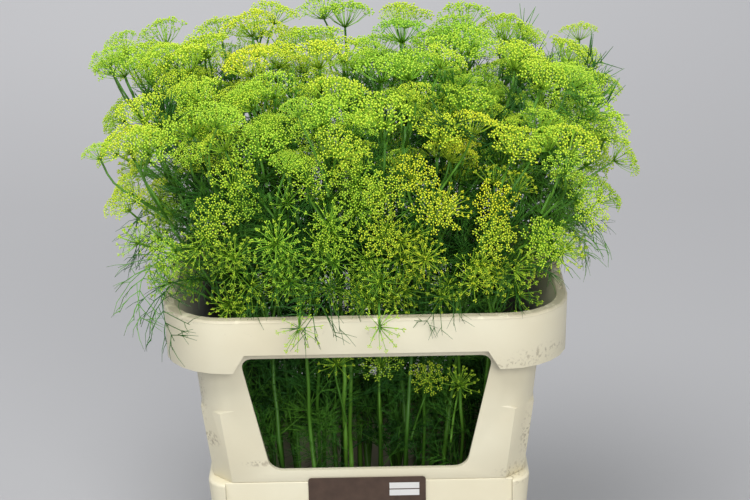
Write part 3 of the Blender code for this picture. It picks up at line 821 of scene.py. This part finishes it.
def makeShell(node, material):
    settings, edgeAngle = shells[node], skin["edgeAngle"]
    bm = bmesh.new()
    bm.from_mesh(frame["nodes"][node].data)
    bmesh.ops.remove_doubles(bm, verts=bm.verts, dist=skin["merge"])
    bmesh.ops.dissolve_limit(bm, angle_limit=skin["flatAngle"], verts=bm.verts, edges=bm.edges)
    joined = [edge for edge in bm.edges if len(edge.link_faces) == 2]
    sharp = [edge for edge in joined if edge.calc_face_angle(0) > edgeAngle]
    bmesh.ops.bevel(bm, geom=sharp, offset=settings["bevel"], segments=3, profile=0.5, affect="EDGES",
                    clamp_overlap=True, material=-1)
    bmesh.ops.triangulate(bm, faces=[face for face in bm.faces if len(face.verts) > 4])
    for face in bm.faces:
        face.smooth = True
    for edge in bm.edges:
        edge.smooth = edge.calc_face_angle(0) < edgeAngle
    paintInsideShade(bm, settings)
    mesh = newMesh(node + "_skin", bm)
    mesh.materials.append(material)
    shell = bpy.data.objects.new(node + "_shell", mesh)
    bpy.context.scene.collection.objects.link(shell)
    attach(shell, "root")
    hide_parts(node)


card = {
    "brown": [(0.3, (0.060, 0.034, 0.022)), (0.7, (0.085, 0.050, 0.033))], "paper": (0.78, 0.77, 0.74),
    "cloudScale": 90.0, "roughness": 0.38,
    # the two blank write-on rows: middle and half size, in x and z
    "rows": [((0.0355, 0.1945), (0.0150, 0.0034)), ((0.0355, 0.1865), (0.0150, 0.0034))],
}


def boxMask(tree, where, middle, half):
    parts = addNode(tree, "ShaderNodeSeparateXYZ")
    tree.links.new(where, parts.inputs["Vector"])
    found = []
    for output, centre, reach in zip(("X", "Z"), middle, half):
        near = addNode(tree, "ShaderNodeMath", operation="COMPARE")
        tree.links.new(parts.outputs[output], near.inputs[0])
        near.inputs[1].default_value, near.inputs[2].default_value = centre, reach
        found.append(near.outputs["Value"])
    both = addNode(tree, "ShaderNodeMath", operation="MULTIPLY")
    tree.links.new(found[0], both.inputs[0])
    tree.links.new(found[1], both.inputs[1])
    return both.outputs["Value"]


def cardMaterial(name):
    material, tree, shader = newMaterial(name)
    coords = addNode(tree, "ShaderNodeTexCoord")
    cloud = addNode(tree, "ShaderNodeTexNoise", Scale=card["cloudScale"])
    tree.links.new(coords.outputs["Object"], cloud.inputs["Vector"])
    colour = ramp(tree, cloud.outputs["Fac"], card["brown"])
    for middle, half in card["rows"]:
        paper = addNode(tree, "ShaderNodeMix", data_type="RGBA")
        tree.links.new(boxMask(tree, coords.outputs["Object"], middle, half), paper.inputs[0])
        tree.links.new(colour, paper.inputs[6])
        paper.inputs[7].default_value = (*card["paper"], 1)
        colour = paper.outputs[2]
    tree.links.new(colour, shader.inputs["Base Color"])
    shader.inputs["Roughness"].default_value = card["roughness"]
    return material


stage = {
    "floorSize": 14.0, "floorFade": (-0.4, 3.2), "floorRoughness": 0.9,
    "skyColour": (0.93, 0.96, 1.0, 1), "skyStrength": 0.42, "aimHeight": 0.4,
    "cameraPlace": (0.01044, -1.87956, 1.06957), "cameraDown": 0.34080,
    "cameraRoll": -0.018894, "cameraLens": 93.11, "sensorWidth": 36.0, "clipEnd": 50.0,
    # lights: name, place, size, watts
    "lights": [("topLight", (-0.5, -1.0, 2.6), 1.4, 54), ("frontLight", (0.6, -2.6, 1.7), 1.0, 36),
               ("backLight", (-0.6, 2.6, 2.4), 1.6, 13)],
    # the floor colour stops are painted light: darker near the camera and lighter far off, standing in for
    # the backdrop's light falloff
    "floorPaintedLight": [(0.0, (0.40, 0.40, 0.41)), (0.5, (0.55, 0.545, 0.555)), (1.0, (0.82, 0.81, 0.82))],
}


def makeFloor():
    bm = bmesh.new()
    bmesh.ops.create_grid(bm, x_segments=1, y_segments=1, size=stage["floorSize"] / 2)
    floor = bpy.data.objects.new("floor", newMesh("floor", bm))
    bpy.context.scene.collection.objects.link(floor)
    material, tree, shader = newMaterial("paleFloor")
    coords = addNode(tree, "ShaderNodeTexCoord")
    parts = addNode(tree, "ShaderNodeSeparateXYZ")
    tree.links.new(coords.outputs["Object"], parts.inputs["Vector"])
    # painted light: the floor's colour grows lighter with distance along y
    away = addNode(tree, "ShaderNodeMapRange")
    away.inputs["From Min"].default_value, away.inputs["From Max"].default_value = stage["floorFade"]
    tree.links.new(parts.outputs["Y"], away.inputs["Value"])
    colour = ramp(tree, away.outputs["Result"], stage["floorPaintedLight"])
    tree.links.new(colour, shader.inputs["Base Color"])
    shader.inputs["Roughness"].default_value = stage["floorRoughness"]
    floor.data.materials.append(material)


def makeLights():
    world = bpy.data.worlds.new("studio")
    bpy.context.scene.world = world
    world.use_nodes = True
    sky = world.node_tree.nodes["Background"]
    sky.inputs["Color"].default_value = stage["skyColour"]
    sky.inputs["Strength"].default_value = stage["skyStrength"]
    for name, spot, size, power in stage["lights"]:
        data = bpy.data.lights.new(name, "AREA")
        data.size, data.energy = size, power
        light = bpy.data.objects.new(name, data)
        light.location = spot
        aimed = Vector((0, max(0, spot[1]), stage["aimHeight"] if spot[1] < 0 else 0))
        light.rotation_euler = (aimed - Vector(spot)).to_track_quat("-Z", "Y").to_euler()
        bpy.context.scene.collection.objects.link(light)


def makeCamera():
    down, roll = stage["cameraDown"], stage["cameraRoll"]
    forward = Vector((0, math.cos(down), -math.sin(down)))
    right, above = Vector((1, 0, 0)), Vector((0, math.sin(down), math.cos(down)))
    cameraRight = right * math.cos(roll) + above * math.sin(roll)
    cameraUp = above * math.cos(roll) - right * math.sin(roll)
    data = bpy.data.cameras.new("view")
    data.lens, data.sensor_width, data.clip_end = stage["cameraLens"], stage["sensorWidth"], stage["clipEnd"]
    camera = bpy.data.objects.new("view", data)
    turn = Matrix((cameraRight, cameraUp, -forward)).transposed().to_4x4()
    camera.matrix_world = Matrix.Translation(stage["cameraPlace"]) @ turn
    bpy.context.scene.collection.objects.link(camera)
    bpy.context.scene.camera = camera
    bpy.context.scene.view_settings.view_transform = "Standard"


makeFloor()
makeLights()
makeCamera()
print("stage ready")

draw = random.Random(21)
heads = {name: [makeHead(kind, draw) for _ in range(2)] for name, kind in headKinds.items()}
leaves = {name: [makeLeaf(kind, draw) for _ in range(2)] for name, kind in leafKinds.items()}
print("heads and leaves drawn", {name: len(made[0].polygons) for name, made in {**heads, **leaves}.items()})

plantGrain = grainGroup()
materials = [plantMaterial(name, finish, plantGrain) for name, finish in plantFinish.items()]
planDraw = random.Random(bunch["seed"])
number = 0
for row in range(bunch["rows"]):
    for column in range(bunch["columns"]):
        number += 1
        makeStem(number, column, row, planStem(column, row, planDraw), heads, leaves, materials)
print("stems grown", number)

creamPlastic = plasticMaterial("creamPlastic")
for node in shells:
    makeShell(node, creamPlastic)
print("bucket and collar made")
frame["nodes"]["label"].material_slots[0].material = cardMaterial("brownCard")

triangles = sum(sum(len(face.vertices) - 2 for face in item.data.polygons)
                for item in bpy.context.scene.objects if item.type == "MESH")
print("triangles", triangles)
